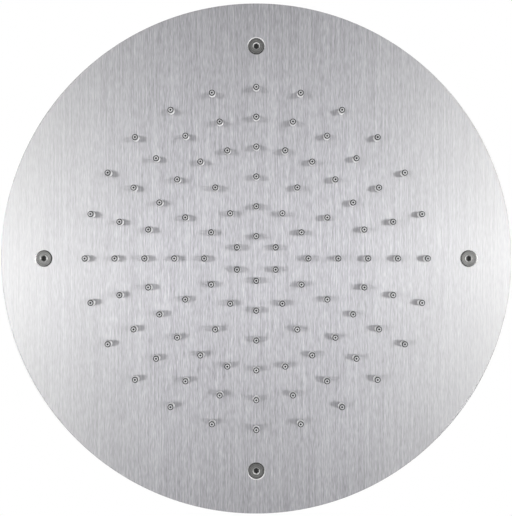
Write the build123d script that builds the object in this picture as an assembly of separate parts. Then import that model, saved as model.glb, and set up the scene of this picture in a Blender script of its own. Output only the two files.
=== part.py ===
"""Rain shower head for flush ceiling mounting.

A brushed steel face carries 102 silicone nozzles. Behind it a bolted pan makes the water
chamber, and a captive union nut joins the inlet to the supply pipe.

Millimetres, +Z up, spraying down. The ceiling plane, which the rim's gasket meets, is z = 0.
Sizes grow outwards from the nozzle rings: chamber, flange, screw circle, rim.
"""
import os
from math import atan, degrees, radians, tan

from build123d import *

# Nozzle rings, from the centre outwards. The first ring is turned by half a step.
RING_COUNTS = (6, 12, 12, 24, 24, 24)
FIRST_RING_RADIUS = 13.0
RING_PITCH = 17.4

# Nozzles: one silicone moulding, a sheet with tapered nozzles.
NOZZLE_ROOT_RADIUS = 2.05
NOZZLE_TIP_RADIUS = 1.7
NOZZLE_REACH = 4.5
ORIFICE_RADIUS = 0.5
NOZZLE_CLEARANCE = 0.05
MAT_THICKNESS = 1.5

# Small rounds that repeat are drawn with straight sides, which keeps the model light.
SMALL_ROUND_SIDES = 8
ORIFICE_SIDES = 6

# Face plate.
PLATE_THICKNESS = 2.5
EDGE_BREAK = 0.3
RIM_WIDTH = 25.0

# Gasket between the plate's rim and the ceiling.
GASKET_THICKNESS = 2.0
GASKET_WIDTH = 10.0
GASKET_INSET = 6.0

# Water chamber: a pressed pan, its flange clamped on the rim of the mat.
PAN_SHEET = 1.5
CHAMBER_MARGIN = 1.95
CHAMBER_HEIGHT = 15.0
WALL_LEAN = 3.5
PAN_SHOULDER = 5.0
FLANGE_WIDTH = 12.5

# Clamping: M4 weld studs, washers and nuts.
CLAMP_COUNT = 8
STUD_RADIUS = 2.0
STUD_CLEARANCE = 0.25
STUD_THREAD_FIT = 0.05
STUD_SPARE = 1.5
CLAMP_WASHER_RADIUS = 4.5
CLAMP_WASHER_THICKNESS = 0.8
CLAMP_NUT_FLATS = 7.0
CLAMP_NUT_HEIGHT = 3.2

# Ceiling screws: M5 countersunk, hex socket.
SCREW_COUNT = 4
SCREW_STANDOFF = 7.0
SCREW_RADIUS = 2.5
SCREW_CLEARANCE = 0.25
SCREW_LENGTH = 30.0
SCREW_NECK_RADIUS = 2.2
SCREW_NECK_LENGTH = 1.0
HEAD_RADIUS = 4.8
HEAD_FIT = 0.1
SOCKET_FLATS = 3.0
SOCKET_DEPTH = 2.3

# Inlet spigot: inner flange, threaded barrel (G 1/2), neck and collar.
BARREL_RADIUS = 10.48
BARREL_SPARE = 1.5
BARREL_CLEARANCE = 0.1
INNER_FLANGE_WIDTH = 3.5
INNER_FLANGE_THICKNESS = 2.5
SPIGOT_SEAL_THICKNESS = 0.8
LOCKNUT_FLATS = 27.0
LOCKNUT_HEIGHT = 5.5
NECK_LENGTH = 10.0
COLLAR_WIDTH = 1.5
COLLAR_THICKNESS = 2.5

# Union nut on the spigot's neck, with the seal and the strainer that it presses on the collar.
UNION_THREAD_RADIUS = 9.32
UNION_THREAD_LENGTH = 9.0
UNION_WALL = 2.28
UNION_PLAY = 0.1
LIP_THICKNESS = 3.0
LIP_CLEARANCE = 0.3
RELIEF_DEPTH = 0.4
COLLAR_CLEARANCE = 0.4
INLET_WASHER_THICKNESS = 2.0
INLET_WASHER_GAP = 0.5
STRAINER_THICKNESS = 0.5
STRAINER_HOLE_RADIUS = 1.1
STRAINER_HOLE_WEB = 1.1

# Flow regulator in the spigot's bore.
NECK_WALL = 1.8
SEAT_LEDGE = 1.1
REGULATOR_HEIGHT = 6.0
REGULATOR_FIT = 0.08
REGULATOR_WALL = 1.2
REGULATOR_FLOOR = 1.5
REGULATOR_POST_RADIUS = 1.5
REGULATOR_PORT_RADIUS = 0.7
REGULATOR_PORTS = 4
REGULATOR_RING_THICKNESS = 1.4
REGULATOR_RING_FIT = 0.1

# Radii that follow from the sizes above.
FIELD_RADIUS = FIRST_RING_RADIUS + RING_PITCH * (len(RING_COUNTS) - 1)
CHAMBER_RADIUS = FIELD_RADIUS + NOZZLE_ROOT_RADIUS + CHAMBER_MARGIN
WALL_RADIUS = CHAMBER_RADIUS + PAN_SHEET
FLANGE_RADIUS = WALL_RADIUS + FLANGE_WIDTH
STUD_CIRCLE_RADIUS = WALL_RADIUS + FLANGE_WIDTH / 2
SCREW_CIRCLE_RADIUS = FLANGE_RADIUS + SCREW_STANDOFF
PLATE_RADIUS = SCREW_CIRCLE_RADIUS + RIM_WIDTH
PAN_HOLE_RADIUS = BARREL_RADIUS + BARREL_CLEARANCE
INNER_FLANGE_RADIUS = BARREL_RADIUS + INNER_FLANGE_WIDTH
COLLAR_RADIUS = UNION_THREAD_RADIUS - COLLAR_CLEARANCE
NECK_RADIUS = COLLAR_RADIUS - COLLAR_WIDTH
SEAT_RADIUS = NECK_RADIUS - NECK_WALL
WATERWAY_RADIUS = SEAT_RADIUS - SEAT_LEDGE
RELIEF_RADIUS = UNION_THREAD_RADIUS + RELIEF_DEPTH

# Heights, from the nozzle tips up to the union nut.
BACK_Z = -GASKET_THICKNESS
FACE_Z = BACK_Z - PLATE_THICKNESS
MAT_TOP_Z = BACK_Z + MAT_THICKNESS
FLANGE_TOP_Z = MAT_TOP_Z + PAN_SHEET
CLAMP_NUT_Z = FLANGE_TOP_Z + CLAMP_WASHER_THICKNESS
STUD_TOP_Z = CLAMP_NUT_Z + CLAMP_NUT_HEIGHT + STUD_SPARE
PAN_CEILING_Z = MAT_TOP_Z + CHAMBER_HEIGHT
PAN_TOP_Z = PAN_CEILING_Z + PAN_SHEET
INNER_FLANGE_TOP_Z = PAN_CEILING_Z - SPIGOT_SEAL_THICKNESS
SPIGOT_BOTTOM_Z = INNER_FLANGE_TOP_Z - INNER_FLANGE_THICKNESS
BARREL_TOP_Z = PAN_TOP_Z + LOCKNUT_HEIGHT + BARREL_SPARE
COLLAR_Z = BARREL_TOP_Z + NECK_LENGTH
SPIGOT_TOP_Z = COLLAR_Z + COLLAR_THICKNESS
INLET_WASHER_Z = SPIGOT_TOP_Z + STRAINER_THICKNESS
LIP_TOP_Z = COLLAR_Z - UNION_PLAY
UNION_THREAD_Z = INLET_WASHER_Z + INLET_WASHER_THICKNESS + INLET_WASHER_GAP
UNION_TOP_Z = UNION_THREAD_Z + UNION_THREAD_LENGTH
REGULATOR_Z = SPIGOT_TOP_Z - REGULATOR_HEIGHT - REGULATOR_FIT


def small_round(radius):
    """A small circle drawn with straight sides that touch the given radius."""
    return RegularPolygon(radius, SMALL_ROUND_SIDES, major_radius=False)


def hexagon(across_flats):
    return RegularPolygon(across_flats / 2, 6, major_radius=False)


def raised(sketch, bottom, top):
    """The sketch pulled up between two heights."""
    return Pos(0, 0, bottom) * extrude(sketch, top - bottom)


def lathe(*points):
    """A turned solid from (radius, height) points."""
    outline = Plane.XZ * Polyline(*points, close=True)
    return revolve(make_face(outline), Axis.Z)


def nozzle_places():
    places = []
    for number, count in enumerate(RING_COUNTS):
        radius = FIRST_RING_RADIUS + number * RING_PITCH
        start = 180 / count if number == 0 else 0
        places += PolarLocations(radius, count, start_angle=start)
    return places


def clamp_places():
    """Between the screws, so that no nut stands in a screw's way."""
    return list(PolarLocations(STUD_CIRCLE_RADIUS, CLAMP_COUNT, start_angle=180 / CLAMP_COUNT))


def screw_places():
    return list(PolarLocations(SCREW_CIRCLE_RADIUS, SCREW_COUNT))


def at(places, thing):
    return [place * thing for place in places]


def face_plate():
    """Flat sheet with nozzle holes, countersunk screw holes and a broken front edge."""
    nozzle_hole = small_round(NOZZLE_ROOT_RADIUS + NOZZLE_CLEARANCE)
    sheet = Circle(PLATE_RADIUS) - at(nozzle_places(), nozzle_hole)
    plate = raised(sheet, FACE_Z, BACK_Z)
    front_edge = plate.edges().filter_by(GeomType.CIRCLE).sort_by(Axis.Z)[0]
    plate = chamfer(front_edge, EDGE_BREAK)

    seat = HEAD_RADIUS + HEAD_FIT
    hole = SCREW_RADIUS + SCREW_CLEARANCE
    cone_top = FACE_Z + seat - hole
    countersink = lathe((0, FACE_Z), (seat, FACE_Z), (hole, cone_top), (0, cone_top))
    countersink += raised(Circle(hole), FACE_Z, BACK_Z)
    return plate - at(screw_places(), countersink)


def nozzle_mat():
    """Sheet and nozzles in one moulding. Its rim is the gasket under the pan's flange."""
    stud_hole = small_round(STUD_RADIUS + STUD_CLEARANCE)
    sheet = raised(Circle(FLANGE_RADIUS) - at(clamp_places(), stud_hole), BACK_Z, MAT_TOP_Z)

    length = PLATE_THICKNESS + NOZZLE_REACH
    taper = degrees(atan((NOZZLE_ROOT_RADIUS - NOZZLE_TIP_RADIUS) / length))
    root = Pos(0, 0, BACK_Z) * small_round(NOZZLE_ROOT_RADIUS)
    nozzle = extrude(root, length, dir=(0, 0, -1), taper=taper)
    orifice = RegularPolygon(ORIFICE_RADIUS, ORIFICE_SIDES)
    bore = raised(orifice, BACK_Z - length, MAT_TOP_Z)
    return sheet + at(nozzle_places(), nozzle) - at(nozzle_places(), bore)


def chamber_pan():
    """Pressed pan: flange, leaning wall, shoulder and top, all of one sheet thickness."""
    bend = PAN_SHEET * tan(radians(22.5))
    shoulder_radius = WALL_RADIUS - WALL_LEAN
    top_radius = shoulder_radius - PAN_SHOULDER
    shoulder_z = PAN_TOP_Z - PAN_SHOULDER
    pan = lathe(
        (CHAMBER_RADIUS, MAT_TOP_Z),
        (FLANGE_RADIUS, MAT_TOP_Z),
        (FLANGE_RADIUS, FLANGE_TOP_Z),
        (WALL_RADIUS, FLANGE_TOP_Z),
        (shoulder_radius, shoulder_z),
        (top_radius, PAN_TOP_Z),
        (PAN_HOLE_RADIUS, PAN_TOP_Z),
        (PAN_HOLE_RADIUS, PAN_CEILING_Z),
        (top_radius - bend, PAN_CEILING_Z),
        (shoulder_radius - PAN_SHEET, shoulder_z - bend),
    )
    stud_hole = raised(small_round(STUD_RADIUS + STUD_CLEARANCE), MAT_TOP_Z, FLANGE_TOP_Z)
    return pan - at(clamp_places(), stud_hole)


def rim_gasket():
    outer = PLATE_RADIUS - GASKET_INSET
    return raised(Circle(outer) - Circle(outer - GASKET_WIDTH), BACK_Z, 0)


def clamp_studs():
    return at(clamp_places(), raised(small_round(STUD_RADIUS), BACK_Z, STUD_TOP_Z))


def clamp_washers():
    ring = small_round(CLAMP_WASHER_RADIUS) - small_round(STUD_RADIUS + STUD_CLEARANCE)
    return at(clamp_places(), raised(ring, FLANGE_TOP_Z, CLAMP_NUT_Z))


def clamp_nuts():
    ring = hexagon(CLAMP_NUT_FLATS) - small_round(STUD_RADIUS + STUD_THREAD_FIT)
    return at(clamp_places(), raised(ring, CLAMP_NUT_Z, CLAMP_NUT_Z + CLAMP_NUT_HEIGHT))


def ceiling_screws():
    """Under the head a plain neck, where the thread has run out."""
    neck_z = FACE_Z + HEAD_RADIUS - SCREW_NECK_RADIUS
    thread_z = neck_z + SCREW_NECK_LENGTH
    end = FACE_Z + SCREW_LENGTH
    screw = lathe(
        (0, FACE_Z),
        (HEAD_RADIUS, FACE_Z),
        (SCREW_NECK_RADIUS, neck_z),
        (SCREW_NECK_RADIUS, thread_z),
        (SCREW_RADIUS, thread_z),
        (SCREW_RADIUS, end),
        (0, end),
    )
    screw -= raised(hexagon(SOCKET_FLATS), FACE_Z, FACE_Z + SOCKET_DEPTH)
    return at(screw_places(), screw)


def inlet_spigot():
    """Turned in one piece. The regulator's seat is bored in from the top."""
    return lathe(
        (WATERWAY_RADIUS, SPIGOT_BOTTOM_Z),
        (INNER_FLANGE_RADIUS, SPIGOT_BOTTOM_Z),
        (INNER_FLANGE_RADIUS, INNER_FLANGE_TOP_Z),
        (BARREL_RADIUS, INNER_FLANGE_TOP_Z),
        (BARREL_RADIUS, BARREL_TOP_Z),
        (NECK_RADIUS, BARREL_TOP_Z),
        (NECK_RADIUS, COLLAR_Z),
        (COLLAR_RADIUS, COLLAR_Z),
        (COLLAR_RADIUS, SPIGOT_TOP_Z),
        (SEAT_RADIUS, SPIGOT_TOP_Z),
        (SEAT_RADIUS, REGULATOR_Z),
        (WATERWAY_RADIUS, REGULATOR_Z),
    )


def spigot_seal():
    ring = Circle(INNER_FLANGE_RADIUS) - Circle(PAN_HOLE_RADIUS)
    return raised(ring, INNER_FLANGE_TOP_Z, PAN_CEILING_Z)


def spigot_locknut():
    ring = hexagon(LOCKNUT_FLATS) - Circle(PAN_HOLE_RADIUS)
    return raised(ring, PAN_TOP_Z, PAN_TOP_Z + LOCKNUT_HEIGHT)


def union_nut():
    """Hexagon outside; inside a lip under the collar, a relief around it and the thread."""
    lip_z = LIP_TOP_Z - LIP_THICKNESS
    body = raised(hexagon(2 * (RELIEF_RADIUS + UNION_WALL)), lip_z, UNION_TOP_Z)
    lip_bore = NECK_RADIUS + LIP_CLEARANCE
    return body - lathe(
        (0, lip_z),
        (lip_bore, lip_z),
        (lip_bore, LIP_TOP_Z),
        (RELIEF_RADIUS, LIP_TOP_Z),
        (RELIEF_RADIUS, UNION_THREAD_Z),
        (UNION_THREAD_RADIUS, UNION_THREAD_Z),
        (UNION_THREAD_RADIUS, UNION_TOP_Z),
        (0, UNION_TOP_Z),
    )


def strainer():
    """One hole in the middle and six around it."""
    spacing = 2 * STRAINER_HOLE_RADIUS + STRAINER_HOLE_WEB
    hole = small_round(STRAINER_HOLE_RADIUS)
    disc = Circle(COLLAR_RADIUS) - hole - at(PolarLocations(spacing, 6), hole)
    return raised(disc, SPIGOT_TOP_Z, INLET_WASHER_Z)


def inlet_washer():
    ring = Circle(COLLAR_RADIUS) - Circle(SEAT_RADIUS)
    return raised(ring, INLET_WASHER_Z, INLET_WASHER_Z + INLET_WASHER_THICKNESS)


def flow_regulator():
    """Cup with a post, around which the elastic ring lies on the ported floor."""
    outer = SEAT_RADIUS - REGULATOR_FIT
    inner = outer - REGULATOR_WALL
    floor_z = REGULATOR_Z + REGULATOR_FLOOR
    top_z = REGULATOR_Z + REGULATOR_HEIGHT
    cup = raised(Circle(outer), REGULATOR_Z, top_z) - raised(Circle(inner), floor_z, top_z)
    cup += raised(small_round(REGULATOR_POST_RADIUS), REGULATOR_Z, top_z)
    port = raised(small_round(REGULATOR_PORT_RADIUS), REGULATOR_Z, floor_z)
    port_circle = (REGULATOR_POST_RADIUS + inner) / 2
    return cup - at(PolarLocations(port_circle, REGULATOR_PORTS), port)


def regulator_ring():
    inner = REGULATOR_POST_RADIUS + REGULATOR_RING_FIT
    bottom = REGULATOR_Z + REGULATOR_FLOOR
    ring = small_round(inner + REGULATOR_RING_THICKNESS) - small_round(inner)
    return raised(ring, bottom, bottom + REGULATOR_RING_THICKNESS)


SINGLE_PIECES = (
    face_plate,
    nozzle_mat,
    chamber_pan,
    rim_gasket,
    inlet_spigot,
    spigot_seal,
    spigot_locknut,
    union_nut,
    strainer,
    inlet_washer,
    flow_regulator,
    regulator_ring,
)
GROUPS = (clamp_studs, clamp_washers, clamp_nuts, ceiling_screws)

os.makedirs("parts", exist_ok=True)
for piece in SINGLE_PIECES:
    export_step(piece(), f"parts/{piece.__name__}.step")
for group in GROUPS:
    export_step(Compound(children=group()), f"parts/{group.__name__}.step")
print(f"plate diameter {2 * PLATE_RADIUS:.1f}, nozzles {sum(RING_COUNTS)}, top {UNION_TOP_Z:.1f}")
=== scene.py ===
# %% [markdown]
# # A ceiling rain shower head, seen from below
# The object is a flat steel disc with 102 soft nozzles and four flush screws. Behind it, where only
# an installer looks, sit a water pan, its clamping nuts and a brass inlet with a swivel nut.
# This lesson dresses the CAD model: each step takes one piece, gives it the shape that the solid
# leaves out (round holes, threads, soft edges) and a finish made of nodes.
# First the CAD frame is loaded. It brings the bodies that move.

# %% Load the frame
from math import cos, pi, radians, sin, tan

import bmesh
import bpy
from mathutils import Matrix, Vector


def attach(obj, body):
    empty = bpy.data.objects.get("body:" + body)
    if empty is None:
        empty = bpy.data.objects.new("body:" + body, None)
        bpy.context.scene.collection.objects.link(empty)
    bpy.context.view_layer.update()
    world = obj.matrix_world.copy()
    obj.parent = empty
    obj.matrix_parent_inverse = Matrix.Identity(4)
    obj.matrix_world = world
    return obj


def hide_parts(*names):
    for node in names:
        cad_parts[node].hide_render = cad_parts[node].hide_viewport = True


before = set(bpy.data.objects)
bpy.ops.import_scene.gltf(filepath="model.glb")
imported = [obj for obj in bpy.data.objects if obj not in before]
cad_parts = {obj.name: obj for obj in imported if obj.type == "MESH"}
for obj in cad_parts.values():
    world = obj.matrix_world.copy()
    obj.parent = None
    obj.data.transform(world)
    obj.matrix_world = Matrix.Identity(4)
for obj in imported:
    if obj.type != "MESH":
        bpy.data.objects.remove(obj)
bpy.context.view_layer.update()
scene = bpy.context.scene
MM = 0.001

# %% [markdown]
# ## Helpers for node trees
# Materials and Geometry Nodes are both trees, so one small function can add a node to either.
# It takes the node's settings, and for each input either a number or the socket to link from.
# `number_tree` starts a Geometry Nodes tree whose sizes are named inputs, as on a drawing.

# %% Adding nodes and starting a tree
def add(tree, kind, inputs=None, **settings):
    node = tree.nodes.new(kind)
    for name, value in settings.items():
        setattr(node, name, value)
    for key, value in (inputs or {}).items():
        if isinstance(value, bpy.types.NodeSocket):
            tree.links.new(value, node.inputs[key])
        else:
            node.inputs[key].default_value = value
    return node


def number_tree(name, floats=(), ints=(), objects=(), materials=()):
    tree = bpy.data.node_groups.new(name, "GeometryNodeTree")
    kinds = (("Float", floats), ("Int", ints), ("Object", objects), ("Material", materials))
    for kind, labels in kinds:
        for label in labels:
            tree.interface.new_socket(label, in_out="INPUT", socket_type="NodeSocket" + kind)
    tree.interface.new_socket("Geometry", in_out="OUTPUT", socket_type="NodeSocketGeometry")
    return tree, tree.nodes.new("NodeGroupInput").outputs


def maths(tree, operation, a, b):
    return add(tree, "ShaderNodeMath", {0: a, 1: b}, operation=operation).outputs[0]


def vector(tree, x=0.0, y=0.0, z=0.0):
    return add(tree, "ShaderNodeCombineXYZ", {0: x, 1: y, 2: z}).outputs[0]


def moved(tree, geometry, z):
    node = add(tree, "GeometryNodeTransform", {"Geometry": geometry})
    tree.links.new(vector(tree, z=z), node.inputs["Translation"])
    return node.outputs[0]


def joined(tree, parts):
    node = tree.nodes.new("GeometryNodeJoinGeometry")
    for part in parts:
        tree.links.new(part, node.inputs[0])
    return node.outputs[0]


# %% [markdown]
# A tree runs as a modifier on an empty mesh. Each size is set by its socket's identifier before
# Blender evaluates the object, and `new_from_object` then keeps the result as a plain mesh, so the
# modifier can go. `settle` gives a finished mesh its place on a CAD body.

# %% Running a tree and settling a piece
def grown(name, tree, values):
    piece = bpy.data.objects.new(name, bpy.data.meshes.new(name + "_start"))
    scene.collection.objects.link(piece)
    rule = piece.modifiers.new("rule", "NODES")
    rule.node_group = tree
    for item in tree.interface.items_tree:
        if item.item_type == "SOCKET" and item.in_out == "INPUT":
            rule[item.identifier] = values[item.name]
    depsgraph = bpy.context.evaluated_depsgraph_get()
    mesh = bpy.data.meshes.new_from_object(
        piece.evaluated_get(depsgraph), preserve_all_data_layers=True, depsgraph=depsgraph)
    piece.modifiers.remove(rule)
    piece.data = mesh
    mesh.name = name
    return piece


def settle(piece, body, slot, *nodes, soft_angle=32):
    piece.data.shade_smooth()
    piece.data.set_sharp_from_angle(angle=radians(soft_angle))
    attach(piece, body)
    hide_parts(*nodes)
    print(f"{piece.name}: {len(piece.data.polygons)} faces stand for {', '.join(nodes)}")
    return piece


# %% [markdown]
# ## Turned shapes
# Most of this object came off a lathe or out of a press, so it is round. A list of (radius, height)
# points in mm is spun about Z. A radius may also be a function of the angle, and then the same
# lathe makes hexagons: the flats of a nut are only a radius that changes as it goes round.
# A point on the axis becomes one vertex, so poles are closed.

# %% The lathe
def turned(name, outline, steps=96, closed=True):
    shape = bmesh.new()
    rings = []
    for radius, height in outline:
        if radius == 0:
            rings.append([shape.verts.new((0, 0, height * MM))])
            continue
        ring = []
        for step in range(steps):
            angle = 2 * pi * step / steps
            r = radius(angle) if callable(radius) else radius
            z = height(angle) if callable(height) else height
            ring.append(shape.verts.new((r * MM * cos(angle), r * MM * sin(angle), z * MM)))
        rings.append(ring)
    pairs = list(zip(rings, rings[1:])) + ([(rings[-1], rings[0])] if closed else [])
    for low, high in pairs:
        for step in range(steps):
            after = (step + 1) % steps
            corners = [low[step % len(low)], low[after % len(low)],
                       high[after % len(high)], high[step % len(high)]]
            corners = list(dict.fromkeys(corners))
            if len(corners) > 2:
                shape.faces.new(corners)
    bmesh.ops.recalc_face_normals(shape, faces=shape.faces)
    mesh = bpy.data.meshes.new(name)
    shape.to_mesh(mesh)
    shape.free()
    return mesh


def piece_from(name, mesh, material):
    piece = bpy.data.objects.new(name, mesh)
    scene.collection.objects.link(piece)
    mesh.materials.append(material)
    return piece


def across(flats, turn=0.0):
    """Radius of a hexagon at an angle, with a corner on +X unless it is turned."""
    return lambda angle: flats / 2 / cos(((angle + turn) % (pi / 3)) - pi / 6)


# %% [markdown]
# ## The brushed face
# The disc was drawn along a belt of abrasive, which leaves scratches in one direction only. Light
# spreads across the scratches and stays narrow along them, so the shader is anisotropic. Its
# tangent comes from a flat UV map, whose U runs across the grain. Two noise textures stretched
# along Y, one fine and one of long lines, draw the scratches in colour and roughness, because a
# smooth anisotropic metal alone would look like plastic film. Towards the left and the right the
# grain is painted calmer: a painted highlight that stands in for the lamps' glare washing it out.
# The back keeps its mill finish, and the walls of the holes are bright from the cutter. A few
# helpers come first, which all the later finishes share.

# %% Helpers for finishes
def new_finish(name, **sockets):
    material = bpy.data.materials.new(name)
    material.use_nodes = True
    tree = material.node_tree
    shader = tree.nodes["Principled BSDF"]
    for socket, value in sockets.items():
        shader.inputs[socket.replace("_", " ")].default_value = value
    return material, tree, shader


def object_noise(tree, per_metre, detail=2.0, roughness=0.55, source=None):
    if source is None:
        source = add(tree, "ShaderNodeTexCoord").outputs["Object"]
    stretch = add(tree, "ShaderNodeMapping", {"Vector": source, "Scale": per_metre})
    return add(tree, "ShaderNodeTexNoise", {"Vector": stretch.outputs[0], "Scale": 1.0,
               "Detail": detail, "Roughness": roughness}).outputs["Fac"]


def shades(tree, factor, dark, light, low=0.3, high=0.7):
    ramp = add(tree, "ShaderNodeValToRGB", {"Fac": factor})
    for stop, colour, place in zip(ramp.color_ramp.elements, (dark, light), (low, high)):
        stop.color = (*colour, 1)
        stop.position = place
    return ramp.outputs["Color"]


def faded(tree, value, start, end, low=0.0, high=1.0):
    """Goes from low to high while the value goes from start to end."""
    return add(tree, "ShaderNodeMapRange", {"Value": value, 1: start, 2: end,
               3: low, 4: high}).outputs[0]


def between(tree, factor, low, high):
    return faded(tree, factor, 0.25, 0.75, low, high)


def blended(tree, factor, first, second):
    return add(tree, "ShaderNodeMix", {"Factor": factor, "A": first, "B": second},
               data_type="RGBA").outputs["Result"]


def weighed(tree, first, share, second):
    """A share of the first noise and the rest of the second."""
    rest = maths(tree, "MULTIPLY", second, 1 - share)
    return maths(tree, "ADD", maths(tree, "MULTIPLY", first, share), rest)


def along(tree, axis):
    """One coordinate of the point, in metres."""
    spot = add(tree, "ShaderNodeTexCoord").outputs["Object"]
    return add(tree, "ShaderNodeSeparateXYZ", {0: spot}).outputs[axis]


def dressed(tree, shader, colour, roughness):
    tree.links.new(colour, shader.inputs["Base Color"])
    tree.links.new(roughness, shader.inputs["Roughness"])


def bumped(tree, shader, height, depth_mm, strength=1.0):
    bump = add(tree, "ShaderNodeBump", {"Height": height, "Distance": depth_mm * MM,
               "Strength": strength})
    tree.links.new(bump.outputs[0], shader.inputs["Normal"])


# %% Brushed, milled and cut steel
brushed_steel, tree, shader = new_finish("brushed_steel", Metallic=1.0, Anisotropic=1.0)
scratches = object_noise(tree, (3200, 240, 300), detail=1.5)
long_lines = object_noise(tree, (1900, 18, 300), detail=1.5)
grain = weighed(tree, scratches, 0.6, long_lines)
strong = shades(tree, grain, (0.210, 0.209, 0.223), (0.420, 0.418, 0.434))
# painted highlight: the grain's contrast is painted lower towards the left and right, where the lamps'
# glare washes it out
painted_highlight_calm = shades(tree, grain, (0.293, 0.292, 0.292), (0.337, 0.336, 0.336))
sideways = maths(tree, "ABSOLUTE", along(tree, "X"), 0.0)
steel = blended(tree, faded(tree, sideways, 50 * MM, 140 * MM, 0.0, 0.8), strong, painted_highlight_calm)
dressed(tree, shader, steel, between(tree, grain, 0.31, 0.355))
across_grain = add(tree, "ShaderNodeTangent", direction_type="UV_MAP", uv_map="across_grain")
tree.links.new(across_grain.outputs[0], shader.inputs["Tangent"])
bumped(tree, shader, scratches, 0.002, 0.5)

mill_steel, tree, shader = new_finish("mill_steel", Metallic=1.0)
rolled = object_noise(tree, (700, 90, 300))
clouds = object_noise(tree, (30, 30, 30), detail=4)
dressed(tree, shader, shades(tree, clouds, (0.44, 0.44, 0.45), (0.53, 0.53, 0.53)),
        between(tree, rolled, 0.36, 0.46))
bumped(tree, shader, rolled, 0.008, 0.5)

cut_steel, tree, shader = new_finish("cut_steel", Metallic=1.0)
chatter = object_noise(tree, (900, 900, 5000), detail=2)
dressed(tree, shader, shades(tree, chatter, (0.68, 0.68, 0.685), (0.82, 0.82, 0.82)),
        between(tree, chatter, 0.20, 0.28))
bumped(tree, shader, chatter, 0.006, 0.5)
print("face finishes", brushed_steel.name, mill_steel.name, cut_steel.name)

# %% [markdown]
# ## Where the nozzles stand
# Six rings of 6, 12, 12, 24, 24 and 24 nozzles, with the rings one pitch apart and the first ring
# turned by half a step. A tree of its own holds that rule, and both the plate with its holes and
# the mat with its nozzles use it, so hole and nozzle can't drift apart.

# %% Ring points as a node group
RING_COUNTS = (6, 12, 12, 24, 24, 24)
FIRST_RING, RING_PITCH = 13.0, 17.4
ring_points, size = number_tree("ring_points", floats=("First Ring", "Ring Pitch"))
ring_meshes = []
for number, count in enumerate(RING_COUNTS):
    radius = maths(ring_points, "MULTIPLY_ADD", size["Ring Pitch"], float(number))
    ring_points.links.new(size["First Ring"], radius.node.inputs[2])
    ring = add(ring_points, "GeometryNodeMeshCircle", {"Vertices": count, "Radius": radius})
    turn = add(ring_points, "GeometryNodeTransform", {"Geometry": ring.outputs[0],
               "Rotation": (0, 0, pi / count if number == 0 else 0)})
    ring_meshes.append(turn.outputs[0])
add(ring_points, "NodeGroupOutput", {0: joined(ring_points, ring_meshes)})
field_radius = FIRST_RING + (len(RING_COUNTS) - 1) * RING_PITCH
print("nozzles", sum(RING_COUNTS), "out to", field_radius, "mm")


def on_rings(tree, size, instance):
    points = add(tree, "GeometryNodeGroup", node_tree=ring_points)
    for label in ("First Ring", "Ring Pitch"):
        tree.links.new(size[label], points.inputs[label])
    return add(tree, "GeometryNodeInstanceOnPoints",
               {"Points": points.outputs[0], "Instance": instance}).outputs[0]


def on_circle(tree, count, radius, start, instance):
    circle = add(tree, "GeometryNodeMeshCircle", {"Vertices": count, "Radius": radius})
    turn = add(tree, "GeometryNodeTransform", {"Geometry": circle.outputs[0]})
    tree.links.new(vector(tree, z=start), turn.inputs["Rotation"])
    return add(tree, "GeometryNodeInstanceOnPoints",
               {"Points": turn.outputs[0], "Instance": instance}).outputs[0]


# %% [markdown]
# ## The perforated disc
# A boolean with 106 cutters would be slow and leave poor faces. Instead the tree draws the outline
# and all the holes as circles and fills between them, once for the front and once for the back.
# Cones and tubes with the same number of sides close the walls between the two, each with a small
# broken edge, and Merge by Distance sews them to the sheets. The screw holes are
# countersunk, so their circle in front is wider than the one behind.

# %% The disc as a tree
HOLE_SIDES, SEAT_SIDES, RIM_SIDES = 24, 48, 288
disc, size = number_tree("perforated_disc", floats=(
    "Rim Radius", "Face Z", "Back Z", "Edge Break", "Hole Radius", "Hole Break", "First Ring",
    "Ring Pitch", "Screw Circle", "Seat Radius", "Screw Hole"), ints=("Screws",),
    materials=("Front", "Cut", "Back"))


def ring_line(tree, radius, sides):
    return add(tree, "GeometryNodeCurvePrimitiveCircle",
               {"Radius": radius, "Resolution": sides}).outputs[0]


def sheet_with_holes(tree, rim, hole, seat, height):
    """A flat sheet, facing up, with round holes on the rings and on the screw circle."""
    outlines = joined(tree, [
        ring_line(tree, rim, RIM_SIDES),
        on_rings(tree, size, ring_line(tree, hole, HOLE_SIDES)),
        on_circle(tree, size["Screws"], size["Screw Circle"], 0.0,
                  ring_line(tree, seat, SEAT_SIDES))])
    loose = add(tree, "GeometryNodeRealizeInstances", {"Geometry": outlines}).outputs[0]
    filled = add(tree, "GeometryNodeFillCurve", {"Curve": loose}).outputs[0]
    return moved(tree, filled, height)


def flipped(tree, mesh):
    return add(tree, "GeometryNodeFlipFaces", {"Mesh": mesh}).outputs[0]


def band(tree, low_radius, high_radius, low, high, sides):
    """An open cone between two heights, facing away from its axis."""
    cone = add(tree, "GeometryNodeMeshCone", {
        "Vertices": sides, "Radius Bottom": low_radius, "Radius Top": high_radius,
        "Depth": maths(tree, "SUBTRACT", high, low)}, fill_type="NONE")
    return moved(tree, cone.outputs["Mesh"], low)


face, back = size["Face Z"], size["Back Z"]
edge_z = maths(disc, "ADD", face, size["Edge Break"])
front_rim = maths(disc, "SUBTRACT", size["Rim Radius"], size["Edge Break"])
hole_z = maths(disc, "ADD", face, size["Hole Break"])
wide_hole = maths(disc, "ADD", size["Hole Radius"], size["Hole Break"])
cone_z = maths(disc, "ADD", face, maths(disc, "SUBTRACT", size["Seat Radius"], size["Screw Hole"]))

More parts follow.
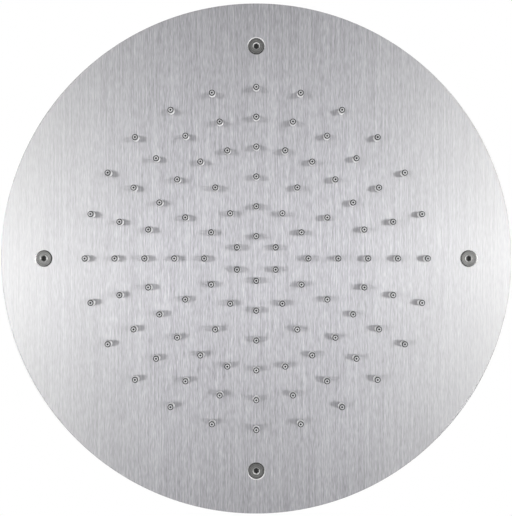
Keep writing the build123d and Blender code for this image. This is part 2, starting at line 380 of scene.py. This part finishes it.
front = flipped(disc, sheet_with_holes(disc, front_rim, wide_hole, size["Seat Radius"], face))
rear = sheet_with_holes(disc, size["Rim Radius"], size["Hole Radius"], size["Screw Hole"], back)
rim = joined(disc, [
    band(disc, front_rim, size["Rim Radius"], face, edge_z, RIM_SIDES),
    band(disc, size["Rim Radius"], size["Rim Radius"], edge_z, back, RIM_SIDES)])
nozzle_wall = joined(disc, [
    band(disc, wide_hole, size["Hole Radius"], face, hole_z, HOLE_SIDES),
    band(disc, size["Hole Radius"], size["Hole Radius"], hole_z, back, HOLE_SIDES)])
screw_wall = joined(disc, [
    band(disc, size["Seat Radius"], size["Screw Hole"], face, cone_z, SEAT_SIDES),
    band(disc, size["Screw Hole"], size["Screw Hole"], cone_z, back, SEAT_SIDES)])
hole_walls = joined(disc, [
    on_rings(disc, size, flipped(disc, nozzle_wall)),
    on_circle(disc, size["Screws"], size["Screw Circle"], 0.0, flipped(disc, screw_wall))])
print("disc tree", len(disc.nodes), "nodes so far")

# %% [markdown]
# The parts of the disc are realised, coloured and sewn together. The last nodes store the flat UV
# map that the brushed finish needs: U is X and V is Y, so U crosses the grain.

# %% Sew the disc and store its UV map
finished = []
for part, finish in ((joined(disc, [front, rim]), "Front"), (hole_walls, "Cut"), (rear, "Back")):
    coloured = add(disc, "GeometryNodeSetMaterial", {"Geometry": part, "Material": size[finish]})
    finished.append(coloured.outputs[0])
solid = add(disc, "GeometryNodeRealizeInstances", {"Geometry": joined(disc, finished)})
sewn = add(disc, "GeometryNodeMergeByDistance", {"Geometry": solid.outputs[0], "Distance": 1e-6})
flat_uv = add(disc, "GeometryNodeStoreNamedAttribute", {
    "Geometry": sewn.outputs[0], "Name": "across_grain",
    "Value": disc.nodes.new("GeometryNodeInputPosition").outputs[0]},
    data_type="FLOAT2", domain="CORNER")
add(disc, "NodeGroupOutput", {0: flat_uv.outputs[0]})

FACE_Z, BACK_Z = -4.5, -2.0
RIM_RADIUS, SCREW_CIRCLE, SCREW_COUNT = 150.0, 125.0, 4
HOLE_RADIUS, SEAT_RADIUS, SCREW_HOLE_RADIUS = 2.0, 5.2, 2.75
face_disc = grown("brushed_face_disc", disc, {
    "Rim Radius": RIM_RADIUS * MM, "Face Z": FACE_Z * MM, "Back Z": BACK_Z * MM, "Edge Break": 0.3 * MM,
    "Hole Radius": HOLE_RADIUS * MM, "Hole Break": 0.05 * MM, "First Ring": FIRST_RING * MM,
    "Ring Pitch": RING_PITCH * MM, "Screw Circle": SCREW_CIRCLE * MM, "Screws": SCREW_COUNT,
    "Seat Radius": SEAT_RADIUS * MM, "Screw Hole": SCREW_HOLE_RADIUS * MM,
    "Front": brushed_steel, "Cut": cut_steel, "Back": mill_steel})
settle(face_disc, "head", "brushed_face", "face_plate")

# %% [markdown]
# ## Silicone nozzles
# Each nozzle is a short soft cone that a thumb can rub clean, rounded at its tip. All of them hang on
# one moulded sheet behind the disc, so they are one piece. The outline is turned once, and the tree
# sets it on the ring points. The finish goes by height, and by the distance from each nozzle's own
# axis, which the tree stores on the mesh before it makes the copies: grey silicone at the tip, walls
# painted paler and palest at the root as painted light, a painted shade for the dark lip around the
# tip and a painted shade for the dark bore.

# %% Silicone finish and one nozzle
def own_axis_distance(tree):
    return add(tree, "ShaderNodeAttribute", attribute_name="from_axis").outputs["Fac"]


TIP_Z = -9.0
silicone, tree, shader = new_finish("nozzle_silicone", Specular_IOR_Level=0.12)
dust = object_noise(tree, (260, 260, 260), detail=3)
skin = object_noise(tree, (2600, 2600, 2600), detail=1)
height = along(tree, "Z")
# painted light: the walls are painted paler than the grey tip, and palest at the root
painted_pale_walls = shades(tree, dust, (0.52, 0.523, 0.527), (0.62, 0.623, 0.627))
ends = shades(tree, dust, (0.34, 0.342, 0.346), (0.44, 0.442, 0.446))
near_root = faded(tree, height, (TIP_Z + 1.8) * MM, (TIP_Z + 3.4) * MM)
near_tip = faded(tree, height, (TIP_Z + 0.55) * MM, (TIP_Z + 0.38) * MM)
# painted shade: a dark lip painted around the tip's rounded rim
behind_end = faded(tree, height, (TIP_Z + 0.01) * MM, (TIP_Z + 0.06) * MM)
lip = maths(tree, "MULTIPLY", near_tip, behind_end)
# painted shade: the bore is painted near black
bore_shade_mask = faded(tree, own_axis_distance(tree), 0.51 * MM, 0.58 * MM, 1.0, 0.0)
bore = maths(tree, "MULTIPLY", bore_shade_mask, maths(tree, "LESS_THAN", height, FACE_Z * MM))
sides = blended(tree, near_root, painted_pale_walls, (0.78, 0.782, 0.785, 1))
# the near-black colour is painted shade, on the lip and in the bore
tone = blended(tree, maths(tree, "MAXIMUM", lip, bore), blended(tree, near_tip, sides, ends),
               (0.02, 0.02, 0.021, 1))
dressed(tree, shader, tone, between(tree, skin, 0.60, 0.74))
bumped(tree, shader, skin, 0.02, 0.4)

one_nozzle = piece_from("one_nozzle", turned("one_nozzle", [
    (1.92, -2.0), (1.92, FACE_Z), (1.90, FACE_Z - 0.2), (1.84, TIP_Z + 0.6), (1.76, TIP_Z + 0.3),
    (1.60, TIP_Z + 0.14), (1.14, TIP_Z), (0.62, TIP_Z), (0.50, TIP_Z + 0.15), (0.46, TIP_Z + 2.2),
    (0, TIP_Z + 2.3),
], steps=16, closed=False), silicone)
print("one nozzle has", len(one_nozzle.data.polygons), "faces and ends at", TIP_Z, "mm")

# %% The mat as a tree
def off_axis(tree, place):
    """How far a place lies from the Z axis."""
    flat = add(tree, "ShaderNodeVectorMath", {0: place, 1: (1, 1, 0)}, operation="MULTIPLY")
    return add(tree, "ShaderNodeVectorMath", {0: flat.outputs[0]}, operation="LENGTH").outputs["Value"]


def marked_from_axis(tree, geometry):
    """Store each point's distance from the Z axis before copies are set elsewhere."""
    place = tree.nodes.new("GeometryNodeInputPosition").outputs[0]
    return add(tree, "GeometryNodeStoreNamedAttribute", {
        "Geometry": geometry, "Name": "from_axis", "Value": off_axis(tree, place)}).outputs[0]


mat, size = number_tree("nozzle_mat", floats=("First Ring", "Ring Pitch", "Sheet Radius",
                        "Sheet Z", "Sheet Top"), objects=("Nozzle",), materials=("Silicone",))
nozzle = add(mat, "GeometryNodeObjectInfo", {"Object": size["Nozzle"]}).outputs["Geometry"]
sheet = add(mat, "GeometryNodeMeshCylinder", {"Vertices": 192, "Radius": size["Sheet Radius"],
            "Depth": maths(mat, "SUBTRACT", size["Sheet Top"], size["Sheet Z"])})
middle = maths(mat, "MULTIPLY", maths(mat, "ADD", size["Sheet Top"], size["Sheet Z"]), 0.5)
whole = add(mat, "GeometryNodeRealizeInstances", {"Geometry": joined(mat, [
    on_rings(mat, size, marked_from_axis(mat, nozzle)), moved(mat, sheet.outputs["Mesh"], middle)])})
coloured = add(mat, "GeometryNodeSetMaterial", {"Geometry": whole.outputs[0],
               "Material": size["Silicone"]})
add(mat, "NodeGroupOutput", {0: coloured.outputs[0]})
FLANGE_RADIUS, SHEET_TOP = 118.0, -0.5
spray_mat = grown("spray_mat", mat, {
    "First Ring": FIRST_RING * MM, "Ring Pitch": RING_PITCH * MM, "Sheet Radius": FLANGE_RADIUS * MM,
    "Sheet Z": BACK_Z * MM, "Sheet Top": SHEET_TOP * MM, "Nozzle": one_nozzle, "Silicone": silicone})
bpy.data.objects.remove(one_nozzle)
settle(spray_mat, "head", "nozzle_silicone", "nozzle_mat", soft_angle=40)

# %% [markdown]
# ## Threads by a rule
# A thread is a ridge that follows a spiral. The Spiral node with equal radii gives the path, and a
# four-sided profile swept along it stands out of a plain core as a V. The same tree serves the
# ceiling screws, the studs and both brass threads, with other sizes.

# %% Thread tree
thread, size = number_tree("thread", floats=("Core Radius", "Pitch", "Start Z", "Length"),
                           ints=("Steps",), materials=("Metal",))
turns = maths(thread, "DIVIDE", size["Length"], size["Pitch"])
path = add(thread, "GeometryNodeCurveSpiral", {
    "Resolution": size["Steps"], "Rotations": turns, "Start Radius": size["Core Radius"],
    "End Radius": size["Core Radius"], "Height": size["Length"]}).outputs[0]
upright = add(thread, "GeometryNodeSetCurveNormal", {"Curve": path}, mode="Z_UP")
ridge = add(thread, "GeometryNodeCurvePrimitiveCircle", {
    "Resolution": 4, "Radius": maths(thread, "MULTIPLY", size["Pitch"], 0.5)}).outputs[0]
swept = add(thread, "GeometryNodeCurveToMesh", {"Curve": upright.outputs[0],
            "Profile Curve": ridge, "Fill Caps": True})
placed = add(thread, "GeometryNodeSetMaterial", {
    "Geometry": moved(thread, swept.outputs[0], size["Start Z"]), "Material": size["Metal"]})
add(thread, "NodeGroupOutput", {0: placed.outputs[0]})
print("thread tree", len(thread.nodes), "nodes")

# %% [markdown]
# ## Four ceiling screws
# They are countersunk, so only the head's flat end shows, a hair below the face. The end was turned
# on a lathe, which leaves rings, and the hexagon socket has a chamfered mouth that catches the
# light. The screw is turned once with a hexagon where the socket is, joined to its thread and set
# around the disc by a tree. The stored distance from the screw's own axis tells the finish where the
# turning rings are and where the painted light goes: the end painted dark as a painted reflection,
# a painted highlight at the mouth, and painted shade in the deep socket and at the head's edge.

# %% A tree that sets one piece around a circle
around, size = number_tree("set_around", floats=("Circle Radius", "Start Angle"), ints=("Count",),
                           objects=("Piece",), materials=("Metal",))
single = add(around, "GeometryNodeObjectInfo", {"Object": size["Piece"]}).outputs["Geometry"]
marked = marked_from_axis(around, single)
copies = on_circle(around, size["Count"], size["Circle Radius"], size["Start Angle"], marked)
whole = add(around, "GeometryNodeRealizeInstances", {"Geometry": copies})
coloured = add(around, "GeometryNodeSetMaterial", {"Geometry": whole.outputs[0],
               "Material": size["Metal"]})
add(around, "NodeGroupOutput", {0: coloured.outputs[0]})
print("tree for pieces around a circle", len(around.nodes), "nodes")


def fused(name, metal, *parts):
    """One piece from several meshes, which it uses up."""
    shape = bmesh.new()
    for part in parts:
        shape.from_mesh(part.data)
        bpy.data.objects.remove(part)
    mesh = bpy.data.meshes.new(name)
    shape.to_mesh(mesh)
    shape.free()
    return piece_from(name, mesh, metal)


def set_around(name, count, radius, start, metal, *parts):
    one = fused(name + "_single", metal, *parts)
    piece = grown(name, around, {"Circle Radius": radius * MM, "Start Angle": radians(start),
                                 "Count": count, "Piece": one, "Metal": metal})
    bpy.data.objects.remove(one)
    return piece


def ridge_on(name, metal, core, pitch, start, length, steps=24):
    return grown(name, thread, {"Core Radius": core * MM, "Pitch": pitch * MM, "Start Z": start * MM,
                                "Length": length * MM, "Steps": steps, "Metal": metal})


# %% Turned screw steel
def noise_along(tree, value, per_metre, detail=1.0):
    """Noise that changes only with one value."""
    return add(tree, "ShaderNodeTexNoise", {"W": maths(tree, "MULTIPLY", value, per_metre),
               "Scale": 1.0, "Detail": detail}, noise_dimensions="1D").outputs["Fac"]


screw_steel, tree, shader = new_finish("screw_steel", Metallic=1.0, Anisotropic=1.0)
tree.links.new(vector(tree, x=1.0, z=0.35), shader.inputs["Tangent"])
axis = own_axis_distance(tree)
turning_rings = noise_along(tree, axis, 1500.0)
stains = object_noise(tree, (900, 900, 900), detail=3)
tone = weighed(tree, turning_rings, 0.7, stains)
# painted reflection: the turned end is painted dark
turned_end_painted_dark = shades(tree, tone, (0.072, 0.072, 0.070), (0.155, 0.155, 0.152))
# painted highlight: the socket's mouth is painted bright
mouth = faded(tree, axis, 2.1 * MM, 2.3 * MM, 1.0, 0.0)
end_with_painted_mouth_highlight = blended(tree, mouth, turned_end_painted_dark, (0.30, 0.30, 0.296, 1))
# painted shade: the deep socket is painted near black
inside = faded(tree, axis, 1.74 * MM, 1.78 * MM, 1.0, 0.0)
past_mouth = faded(tree, along(tree, "Z"), (FACE_Z + 0.6) * MM, (FACE_Z + 0.9) * MM)
painted_socket_shade = faded(tree, axis, 1.40 * MM, 1.48 * MM, 0.05, 0.02)
with_painted_socket_shade = blended(tree, maths(tree, "MULTIPLY", past_mouth, inside), end_with_painted_mouth_highlight, painted_socket_shade)
# painted shade: a near-black ring painted at the head's edge, in the gap of the countersink
at_edge = faded(tree, axis, 4.2 * MM, 4.45 * MM)
with_painted_edge_shade = blended(tree, at_edge, with_painted_socket_shade, (0.025, 0.025, 0.025, 1))
dressed(tree, shader, with_painted_edge_shade, between(tree, tone, 0.37, 0.31))
bumped(tree, shader, turning_rings, 0.02, 0.5)
print(screw_steel.name, "has", len(tree.nodes), "nodes")

# %% Screws
HEAD_Z = FACE_Z + 0.4
socket = across(3.0, pi / 6)
screw_body = piece_from("screw_body", turned("screw_body", [
    (0, HEAD_Z + 2.5), (1.40, HEAD_Z + 1.95), (socket, HEAD_Z + 1.9), (socket, HEAD_Z + 0.3),
    (1.95, HEAD_Z + 0.08), (2.12, HEAD_Z), (2.9, HEAD_Z), (3.0, HEAD_Z + 0.05),
    (3.15, HEAD_Z + 0.05), (3.25, HEAD_Z), (4.3, HEAD_Z), (4.46, HEAD_Z + 0.06),
    (4.5, HEAD_Z + 0.2), (2.2, -1.9), (2.2, -0.9), (2.1, -0.8), (2.1, 25.0), (1.7, 25.5), (0, 25.5),
], steps=48, closed=False), screw_steel)
screw_ridge = ridge_on("screw_ridge", screw_steel, 2.1, 0.8, -0.4, 25.2, steps=16)
rim_screws = set_around("rim_screws", SCREW_COUNT, SCREW_CIRCLE, 0, screw_steel,
                        screw_body, screw_ridge)
settle(rim_screws, "head", "screw_steel", "ceiling_screws")

# %% [markdown]
# ## The clamping ring
# Eight studs welded on the disc's back pass through the mat and the pan's flange. A washer and a nut
# on each press the flange on the soft mat, which seals it. The nuts are hexagons with both ends
# turned to a cone, which gives the curved edges that every real nut has: the lathe
# lowers the corner of each flat by the same 30 degree slope.

# %% Plain fastener steel
fastener_steel, tree, shader = new_finish("fastener_steel", Metallic=1.0)
turning_rings = noise_along(tree, own_axis_distance(tree), 1800.0)
haze = object_noise(tree, (420, 420, 420), detail=4)
dressed(tree, shader, shades(tree, haze, (0.43, 0.44, 0.46), (0.58, 0.585, 0.59)),
        between(tree, haze, 0.24, 0.42))
bumped(tree, shader, turning_rings, 0.01, 0.5)
print(fastener_steel.name, "has", len(tree.nodes), "nodes")


# %% Studs, washers and nuts
def hexagon_sides(flats, low, high):
    """The outside of a nut: six flats between two cones of 30 degrees."""
    seat = flats / 2 * 0.97
    corner = across(flats)
    slope = tan(radians(30))
    return [(seat, low), (corner, lambda a: low + (corner(a) - seat) * slope),
            (corner, lambda a: high - (corner(a) - seat) * slope), (seat, high)]


def hexagon_nut(flats, bore, low, high, bevel=0.3):
    return [(bore, low + bevel), (bore + bevel, low), *hexagon_sides(flats, low, high),
            (bore + bevel, high), (bore, high - bevel)]


CLAMP = (8, 111.75, 22.5, fastener_steel)
stud_core = piece_from("stud_core", turned("stud_core", [
    (0, BACK_Z), (1.65, BACK_Z), (1.65, 6.2), (1.35, 6.5), (0, 6.5)], steps=20, closed=False),
    fastener_steel)
stud_ridge = ridge_on("stud_ridge", fastener_steel, 1.65, 0.7, 1.5, 4.5, steps=16)
flange_studs = set_around("flange_studs", *CLAMP, stud_core, stud_ridge)
settle(flange_studs, "head", "fastener_steel", "clamp_studs")

one_washer = piece_from("one_washer", turned("one_washer", [
    (2.25, 1.08), (2.33, 1.0), (4.38, 1.0), (4.5, 1.12), (4.5, 1.68), (4.38, 1.8), (2.33, 1.8),
    (2.25, 1.72)], steps=40), fastener_steel)
flange_washers = set_around("flange_washers", *CLAMP, one_washer)
settle(flange_washers, "head", "fastener_steel", "clamp_washers")

one_nut = piece_from("one_nut", turned("one_nut", hexagon_nut(7.0, 2.05, 1.8, 5.0), steps=36),
                     fastener_steel)
flange_nuts = set_around("flange_nuts", *CLAMP, one_nut)
settle(flange_nuts, "head", "fastener_steel", "clamp_nuts")

# %% [markdown]
# ## The pressed pan
# The water chamber is a shallow pan, drawn from sheet steel over a punch. Sheet can't fold sharply,
# so every bend has a radius. `with_bends` replaces the corners of an outline by short curves, and
# the lathe spins it. Drawing and spinning leave faint rings, which follow the distance from the axis.

# %% Pan steel
def ring_noise(tree, per_metre, detail=2.0):
    """Noise that changes only with the distance from the object's Z axis."""
    spot = add(tree, "ShaderNodeTexCoord").outputs["Object"]
    return noise_along(tree, off_axis(tree, spot), per_metre, detail)


pan_steel, tree, shader = new_finish("pan_steel", Metallic=1.0)
drawn = ring_noise(tree, 900.0)
clouds = object_noise(tree, (22, 22, 40), detail=5)
specks = object_noise(tree, (1500, 1500, 1500), detail=1)
mottle = weighed(tree, drawn, 0.5, specks)
dressed(tree, shader, shades(tree, clouds, (0.44, 0.44, 0.445), (0.56, 0.56, 0.555)),
        between(tree, mottle, 0.28, 0.44))
bumped(tree, shader, mottle, 0.02, 0.5)
print(pan_steel.name, "has", len(tree.nodes), "nodes")


# %% Pan
def with_bends(points, steps=5):
    """Each (radius, height, bend) corner becomes a short curve that starts bend mm before it."""
    outline = []
    for number, (r, z, bend) in enumerate(points):
        before, after = points[number - 1], points[(number + 1) % len(points)]
        if bend == 0:
            outline.append((r, z))
            continue
        ends = []
        for other in (before, after):
            dr, dz = other[0] - r, other[1] - z
            share = bend / max((dr * dr + dz * dz) ** 0.5, 1e-9)
            ends.append((r + dr * share, z + dz * share))
        for step in range(steps + 1):
            t = step / steps
            outline.append(tuple(
                (1 - t) ** 2 * a + 2 * t * (1 - t) * b + t * t * c
                for a, b, c in zip(ends[0], (r, z), ends[1])))
    return outline


water_pan = piece_from("water_pan", turned("water_pan", with_bends([
    (104.0, SHEET_TOP, 0.5), (FLANGE_RADIUS, SHEET_TOP, 0.3), (FLANGE_RADIUS, 1.0, 0.3),
    (105.5, 1.0, 2.5), (102.0, 11.0, 2.4), (97.0, 16.0, 2.8), (10.58, 16.0, 0.25),
    (10.58, 14.5, 0.25), (96.38, 14.5, 1.8), (100.5, 10.38, 1.6)]), steps=160), pan_steel)
settle(water_pan, "head", "pan_steel", "chamber_pan", soft_angle=40)

# %% [markdown]
# ## The ceiling gasket
# A foam ring lies between the disc's rim and the ceiling, so that the disc sits flat on an uneven
# surface. It is die-cut, with slightly pressed edges, and shows closed cells: a Voronoi texture
# gives each cell a small dome.

# %% Foam gasket
gasket_foam, tree, shader = new_finish("gasket_foam", Roughness=0.9)
spot = add(tree, "ShaderNodeTexCoord").outputs["Object"]
cells = add(tree, "ShaderNodeTexVoronoi", {"Vector": spot, "Scale": 1400.0}).outputs["Distance"]
patches = object_noise(tree, (120, 120, 120), detail=4)
dressed(tree, shader, shades(tree, patches, (0.035, 0.035, 0.037), (0.075, 0.075, 0.078)),
        between(tree, patches, 0.82, 0.95))
bumped(tree, shader, cells, 0.12, 0.6)
ceiling_gasket = piece_from("ceiling_gasket", turned("ceiling_gasket", with_bends([
    (134.0, BACK_Z, 0.15), (144.0, BACK_Z, 0.15), (144.0, 0.0, 0.5), (134.0, 0.0, 0.5)], steps=4),
    steps=192), gasket_foam)
settle(ceiling_gasket, "head", "gasket_foam", "rim_gasket", soft_angle=50)

# %% [markdown]
# ## The brass inlet
# The spigot is turned from bar: an inner flange, a threaded barrel, a plain neck and a collar that
# holds the swivel nut. A locknut clamps it in the pan. Brass is written as a
# metal with a warm colour, duller in the grooves that the tool left and in patches where hands
# have touched it.

# %% Brass
inlet_brass, tree, shader = new_finish("inlet_brass", Metallic=1.0)
spot = add(tree, "ShaderNodeTexCoord").outputs["Object"]
tool_marks = object_noise(tree, (4, 4, 3200), detail=1, source=spot)
tarnish = object_noise(tree, (150, 150, 150), detail=5, source=spot)
wear = weighed(tree, tool_marks, 0.5, tarnish)
dressed(tree, shader, shades(tree, tarnish, (0.50, 0.33, 0.13), (0.72, 0.52, 0.25)),
        between(tree, wear, 0.40, 0.24))
bumped(tree, shader, tool_marks, 0.012, 0.5)
print(inlet_brass.name, "has", len(tree.nodes), "nodes")

# %% Spigot and locknut
PIPE_PITCH = 1.814
spigot_body = piece_from("spigot_body", turned("spigot_body", with_bends([
    (4.52, 11.2, 0.3), (13.98, 11.2, 0.3), (13.98, 13.7, 0), (9.57, 13.7, 0), (9.57, 23.0, 0.6),
    (7.42, 23.0, 0.5), (7.42, 33.0, 0.3), (8.92, 33.0, 0.25), (8.92, 35.5, 0.25), (5.62, 35.5, 0.2),
    (5.62, 29.42, 0), (4.52, 29.42, 0.2)], steps=3), steps=72), inlet_brass)
spigot_ridge = ridge_on("spigot_ridge", inlet_brass, 9.57, PIPE_PITCH, 14.7, 7.3, steps=40)
inlet_turned = fused("inlet_turned", inlet_brass, spigot_body, spigot_ridge)
settle(inlet_turned, "head", "inlet_brass", "inlet_spigot")

pan_locknut = piece_from("pan_locknut", turned("pan_locknut", hexagon_nut(
    27.0, 10.58, 16.0, 21.5, bevel=0.5), steps=96), inlet_brass)
settle(pan_locknut, "head", "inlet_brass", "spigot_locknut")

# %% [markdown]
# ## The swivel nut
# This is the one piece that moves: it turns freely on the spigot's neck and screws on the supply
# pipe. Outside it is a tall hexagon with both ends turned to a cone. Inside, a lip catches the
# collar, and above it the pipe thread runs to the mouth. It rides on the body "union".

# %% Swivel nut with its thread
NUT_FLATS, NUT_LOW, NUT_HIGH = 24.0, 29.9, 47.5
nut_body = piece_from("nut_body", turned("nut_body", [
    (7.72, NUT_LOW + 0.3), (8.02, NUT_LOW), *hexagon_sides(NUT_FLATS, NUT_LOW, NUT_HIGH),
    (10.75, NUT_HIGH), (10.2, NUT_HIGH - 0.55), (10.2, 32.9), (7.72, 32.9)], steps=96), inlet_brass)
nut_ridge = ridge_on("nut_ridge", inlet_brass, 10.2, PIPE_PITCH, 38.9, 7.6, steps=40)
swivel_nut = fused("swivel_nut", inlet_brass, nut_body, nut_ridge)
settle(swivel_nut, "union", "inlet_brass", "union_nut")

# %% [markdown]
# ## Seal, strainer and regulator
# Looking down into the nut, one sees a black rubber seal and, through it, a perforated disc that
# keeps grit out of the nozzles. The strainer is filled between circles, like the big disc, and
# thickened by an extrusion. The regulator, its ring and the spigot's seal are almost
# hidden, so their solids stay and only get a finish.

# %% Rubber and the inlet seal
seal_rubber, tree, shader = new_finish("seal_rubber", Roughness=0.6)
bloom = object_noise(tree, (300, 300, 300), detail=4)
pores = object_noise(tree, (2400, 2400, 2400), detail=1)
dressed(tree, shader, shades(tree, bloom, (0.022, 0.022, 0.024), (0.05, 0.05, 0.052)),
        between(tree, bloom, 0.5, 0.7))
bumped(tree, shader, pores, 0.02, 0.5)
inlet_seal = piece_from("inlet_seal", turned("inlet_seal", with_bends([
    (5.62, 36.0, 0.1), (8.92, 36.0, 0.1), (8.92, 38.0, 0.35), (5.62, 38.0, 0.35)], steps=4), steps=64),
    seal_rubber)
settle(inlet_seal, "head", "seal_rubber", "inlet_washer", soft_angle=50)

# %% Strainer
strainer_steel, tree, shader = new_finish("strainer_steel", Metallic=1.0)
rolled = object_noise(tree, (2000, 260, 300))
dressed(tree, shader, shades(tree, rolled, (0.42, 0.42, 0.43), (0.55, 0.55, 0.56)),
        between(tree, rolled, 0.25, 0.4))
bumped(tree, shader, rolled, 0.01, 0.5)

sieve, size = number_tree("grit_sieve", floats=("Radius", "Hole Radius", "Hole Circle", "Bottom",
                          "Thickness"), ints=("Holes",), materials=("Steel",))
hole = ring_line(sieve, size["Hole Radius"], 20)
outlines = joined(sieve, [ring_line(sieve, size["Radius"], 64), hole,
                          on_circle(sieve, size["Holes"], size["Hole Circle"], 0.0, hole)])
loose = add(sieve, "GeometryNodeRealizeInstances", {"Geometry": outlines}).outputs[0]
sheet = add(sieve, "GeometryNodeFillCurve", {"Curve": loose}).outputs[0]
thick = add(sieve, "GeometryNodeExtrudeMesh", {"Mesh": sheet, "Offset Scale": size["Thickness"],
            "Individual": False}).outputs[0]
closed = add(sieve, "GeometryNodeMergeByDistance", {
    "Geometry": joined(sieve, [thick, flipped(sieve, sheet)]), "Distance": 1e-6}).outputs[0]
coloured = add(sieve, "GeometryNodeSetMaterial", {
    "Geometry": moved(sieve, closed, size["Bottom"]), "Material": size["Steel"]})
add(sieve, "NodeGroupOutput", {0: coloured.outputs[0]})
grit_strainer = grown("grit_strainer", sieve, {
    "Radius": 8.92 * MM, "Hole Radius": 1.1 * MM, "Hole Circle": 3.3 * MM, "Bottom": 35.5 * MM,
    "Thickness": 0.5 * MM, "Holes": 6, "Steel": strainer_steel})
settle(grit_strainer, "head", "strainer_steel", "strainer")

# %% Finishes for the solids that stay
regulator_plastic, tree, shader = new_finish("regulator_plastic", Roughness=0.4)
flow = object_noise(tree, (180, 180, 60), detail=3)
dressed(tree, shader, shades(tree, flow, (0.50, 0.50, 0.47), (0.58, 0.58, 0.55)),
        between(tree, flow, 0.34, 0.48))
bumped(tree, shader, flow, 0.02, 0.4)
for node, finish in (("flow_regulator", regulator_plastic), ("regulator_ring", seal_rubber),
                     ("spigot_seal", seal_rubber)):
    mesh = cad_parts[node].data
    mesh.materials.clear()
    mesh.materials.append(finish)
    print(node, "keeps its solid, finish", finish.name)

# %% [markdown]
# ## Room, light and camera
# The disc is a mirror of sorts, so it shows the room. Two long soft lamps stand left and right,
# brightest in their middle. The disc's grain spreads each lamp sideways, so the disc brightens
# towards both sides and stays darker above and below, and every nozzle stops some of that light and
# leaves a short dark streak. A small lamp below the disc lights the matt nozzles and shows in no
# reflection, and a last one lights the back. The floor and the sky look white to the camera and to
# reflections, while they light the object at a plain level, and the floor fades into that white.

# %% Floor and world
def seen_directly(tree):
    rays = add(tree, "ShaderNodeLightPath").outputs
    either = maths(tree, "MAXIMUM", rays["Is Camera Ray"], rays["Is Glossy Ray"])
    return maths(tree, "MAXIMUM", either, rays["Is Transmission Ray"])


FLOOR_Z, FLOOR_REACH = -0.62, 9.0
ROOM_LIGHT = 0.2
floor_mesh = bpy.data.meshes.new("pale_floor")
corners = [(x * FLOOR_REACH, y * FLOOR_REACH, FLOOR_Z) for x, y in ((-1, -1), (1, -1), (1, 1), (-1, 1))]
floor_mesh.from_pydata(corners, [], [(0, 1, 2, 3)])
pale = bpy.data.materials.new("pale_floor")
pale.use_nodes = True
tree = pale.node_tree
tree.nodes.clear()
matt = add(tree, "ShaderNodeBsdfDiffuse", {"Color": (0.8, 0.8, 0.8, 1)})
white = add(tree, "ShaderNodeEmission", {"Color": (1, 1, 1, 1), "Strength": 1.0})
spot = add(tree, "ShaderNodeTexCoord").outputs["Object"]
away = add(tree, "ShaderNodeVectorMath", {0: spot}, operation="LENGTH").outputs["Value"]
white_share = maths(tree, "MULTIPLY", seen_directly(tree), faded(tree, away, 0.9, 4.0, 0.8, 1.0))
mix = add(tree, "ShaderNodeMixShader", {0: white_share, 1: matt.outputs[0], 2: white.outputs[0]})
add(tree, "ShaderNodeOutputMaterial", {"Surface": mix.outputs[0]})
pale_floor = piece_from("pale_floor", floor_mesh, pale)

world = bpy.data.worlds.new("white_room")
scene.world = world
world.use_nodes = True
tree = world.node_tree
tree.nodes.clear()
extra = maths(tree, "MULTIPLY", seen_directly(tree), 1 - ROOM_LIGHT)
level = maths(tree, "ADD", extra, ROOM_LIGHT)
sky = add(tree, "ShaderNodeBackground", {"Color": (1, 1, 1, 1), "Strength": level})
add(tree, "ShaderNodeOutputWorld", {"Surface": sky.outputs[0]})
print("floor at", FLOOR_Z, "m, room light", ROOM_LIGHT)


# %% Lamps
def soft_lamp(name, place, aim, width, depth, watts, hot_middle=False):
    lamp = bpy.data.lights.new(name, "AREA")
    if hot_middle:
        lamp.use_nodes = True
        tree = lamp.node_tree
        spot = add(tree, "ShaderNodeNewGeometry").outputs["Parametric"]
        lengthwise = add(tree, "ShaderNodeSeparateXYZ", {0: spot}).outputs[0]
        peak = maths(tree, "MULTIPLY", maths(tree, "PINGPONG", lengthwise, 0.5), 4.0)
        tree.links.new(peak, tree.nodes["Emission"].inputs["Strength"])
    lamp.shape = "RECTANGLE"
    lamp.size, lamp.size_y, lamp.energy = width, depth, watts
    piece = bpy.data.objects.new(name, lamp)
    scene.collection.objects.link(piece)
    piece.location = place
    direction = Vector(aim) - Vector(place)
    piece.rotation_euler = direction.to_track_quat("-Z", "Y").to_euler()
    piece.visible_camera = False
    print(name, watts, "W")
    return piece


for name, x, y, watts in (("left_lamp", -0.42, 0.02, 2.75), ("right_lamp", 0.42, -0.008, 2.85)):
    soft_lamp(name, (x, y, -0.33), (0, y, 0), 0.92, 0.13, watts, hot_middle=True)
key = soft_lamp("key_lamp", (0.60, 0.95, -0.50), (0, 0, 0), 0.35, 0.35, 7.0)
key.visible_glossy = False
soft_lamp("back_lamp", (0.3, -0.5, 1.5), (0, 0, 0), 1.4, 1.4, 6.0)

# %% [markdown]
# The camera looks straight up at the disc. Half a metre is a guess from the look of the nozzles: it is
# close enough for those near the rim to show a little of their sides, and far enough to keep the
# rings even. The lens length follows from that distance and the height of the frame at the disc.

# %% Camera
DISTANCE, FRAME_HEIGHT, FRAME_PIXELS = 0.48, 0.3033, 516
lens = bpy.data.cameras.new("from_below")
lens.sensor_fit = "VERTICAL"
lens.sensor_height = 24.0
lens.lens = lens.sensor_height * DISTANCE / FRAME_HEIGHT
lens.shift_x, lens.shift_y = -0.3 / FRAME_PIXELS, 0.5 / FRAME_PIXELS
lens.clip_start = 0.01
camera = bpy.data.objects.new("from_below", lens)
camera.location = (0, 0, FACE_Z * MM - DISTANCE)
camera.rotation_euler = (pi, 0, 0)
scene.collection.objects.link(camera)
scene.camera = camera
scene.view_settings.view_transform = "Standard"
print("lens", round(lens.lens, 2), "mm at", DISTANCE, "m")
